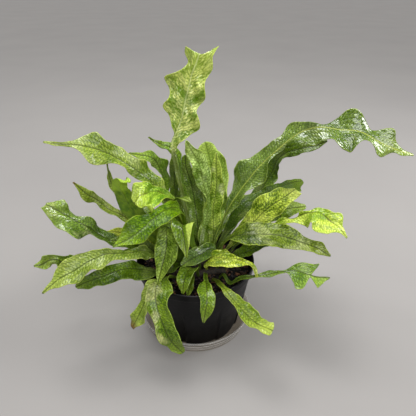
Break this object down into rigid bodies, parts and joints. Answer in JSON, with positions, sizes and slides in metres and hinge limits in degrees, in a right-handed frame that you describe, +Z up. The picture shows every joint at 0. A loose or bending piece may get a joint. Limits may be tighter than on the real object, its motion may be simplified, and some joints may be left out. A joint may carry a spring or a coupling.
{
  "type": "potted crocodile fern",
  "caption": "Crocodile fern with long wavy net-veined fronds, growing in a tapered black nursery pot that stands on a clear round saucer.",
  "frame": {"origin": "centre of the saucer's flat underside, on the surface that the plant stands on", "axes": "+Z up, +X to the right as the picture shows the plant, +Y away from the picture's camera"},
  "size_m": [0.4408, 0.269, 0.3497],
  "materials": {
    "clear_plastic": "gloss",
    "black_plastic": "satin",
    "potting_mix": "matte",
    "rootstock": "matte",
    "leaf_lime": "satin",
    "leaf_bright": "satin",
    "leaf_green": "satin",
    "leaf_dark": "satin",
    "leaf_pale": "satin",
    "leaf_mottled": "satin"
  },
  "bodies": {
    "root": {"saucer": "clear_plastic", "pot": "black_plastic", "potting_mix": "potting_mix", "rootstock": "rootstock", "frond_top": "leaf_lime", "frond_left_high": "leaf_pale", "frond_left_mid": "leaf_green", "frond_small_left": "leaf_green", "frond_reddish": "leaf_green", "frond_centre_broad": "leaf_green", "frond_centre_wavy": "leaf_mottled", "frond_bright_tip": "leaf_lime", "frond_dark_centre": "leaf_dark", "frond_right_long": "leaf_green", "frond_right_back": "leaf_dark", "frond_right_mottled": "leaf_lime", "frond_right_round": "leaf_dark", "frond_right_mid": "leaf_green", "frond_right_yellow": "leaf_lime", "frond_right_low": "leaf_mottled", "frond_right_under": "leaf_dark", "frond_yellow_front": "leaf_lime", "frond_right_crested": "leaf_green", "frond_front_right": "leaf_pale", "frond_front_centre": "leaf_green", "frond_front_small": "leaf_green", "frond_front_little": "leaf_green", "frond_hang_left": "leaf_green", "frond_hang_centre": "leaf_lime", "frond_broad_left": "leaf_bright", "frond_bright": "leaf_lime", "frond_small_tip": "leaf_green", "frond_left_curled_back": "leaf_dark", "frond_left_narrow": "leaf_pale", "frond_left_yellow": "leaf_lime", "frond_left_wide": "leaf_mottled", "frond_left_little": "leaf_lime", "frond_left_under": "leaf_dark", "frond_left_low": "leaf_pale", "frond_left_dark": "leaf_dark", "frond_left_curl": "leaf_green", "frond_front_left": "leaf_bright", "frond_short_left": "leaf_green", "frond_hang_dark": "leaf_dark", "frond_front_dark": "leaf_dark", "frond_crosswise": "leaf_pale", "frond_back_right": "leaf_green", "frond_back_mid": "leaf_green", "frond_back_left": "leaf_green", "frond_back_side": "leaf_green"}
  },
  "joints": []
}
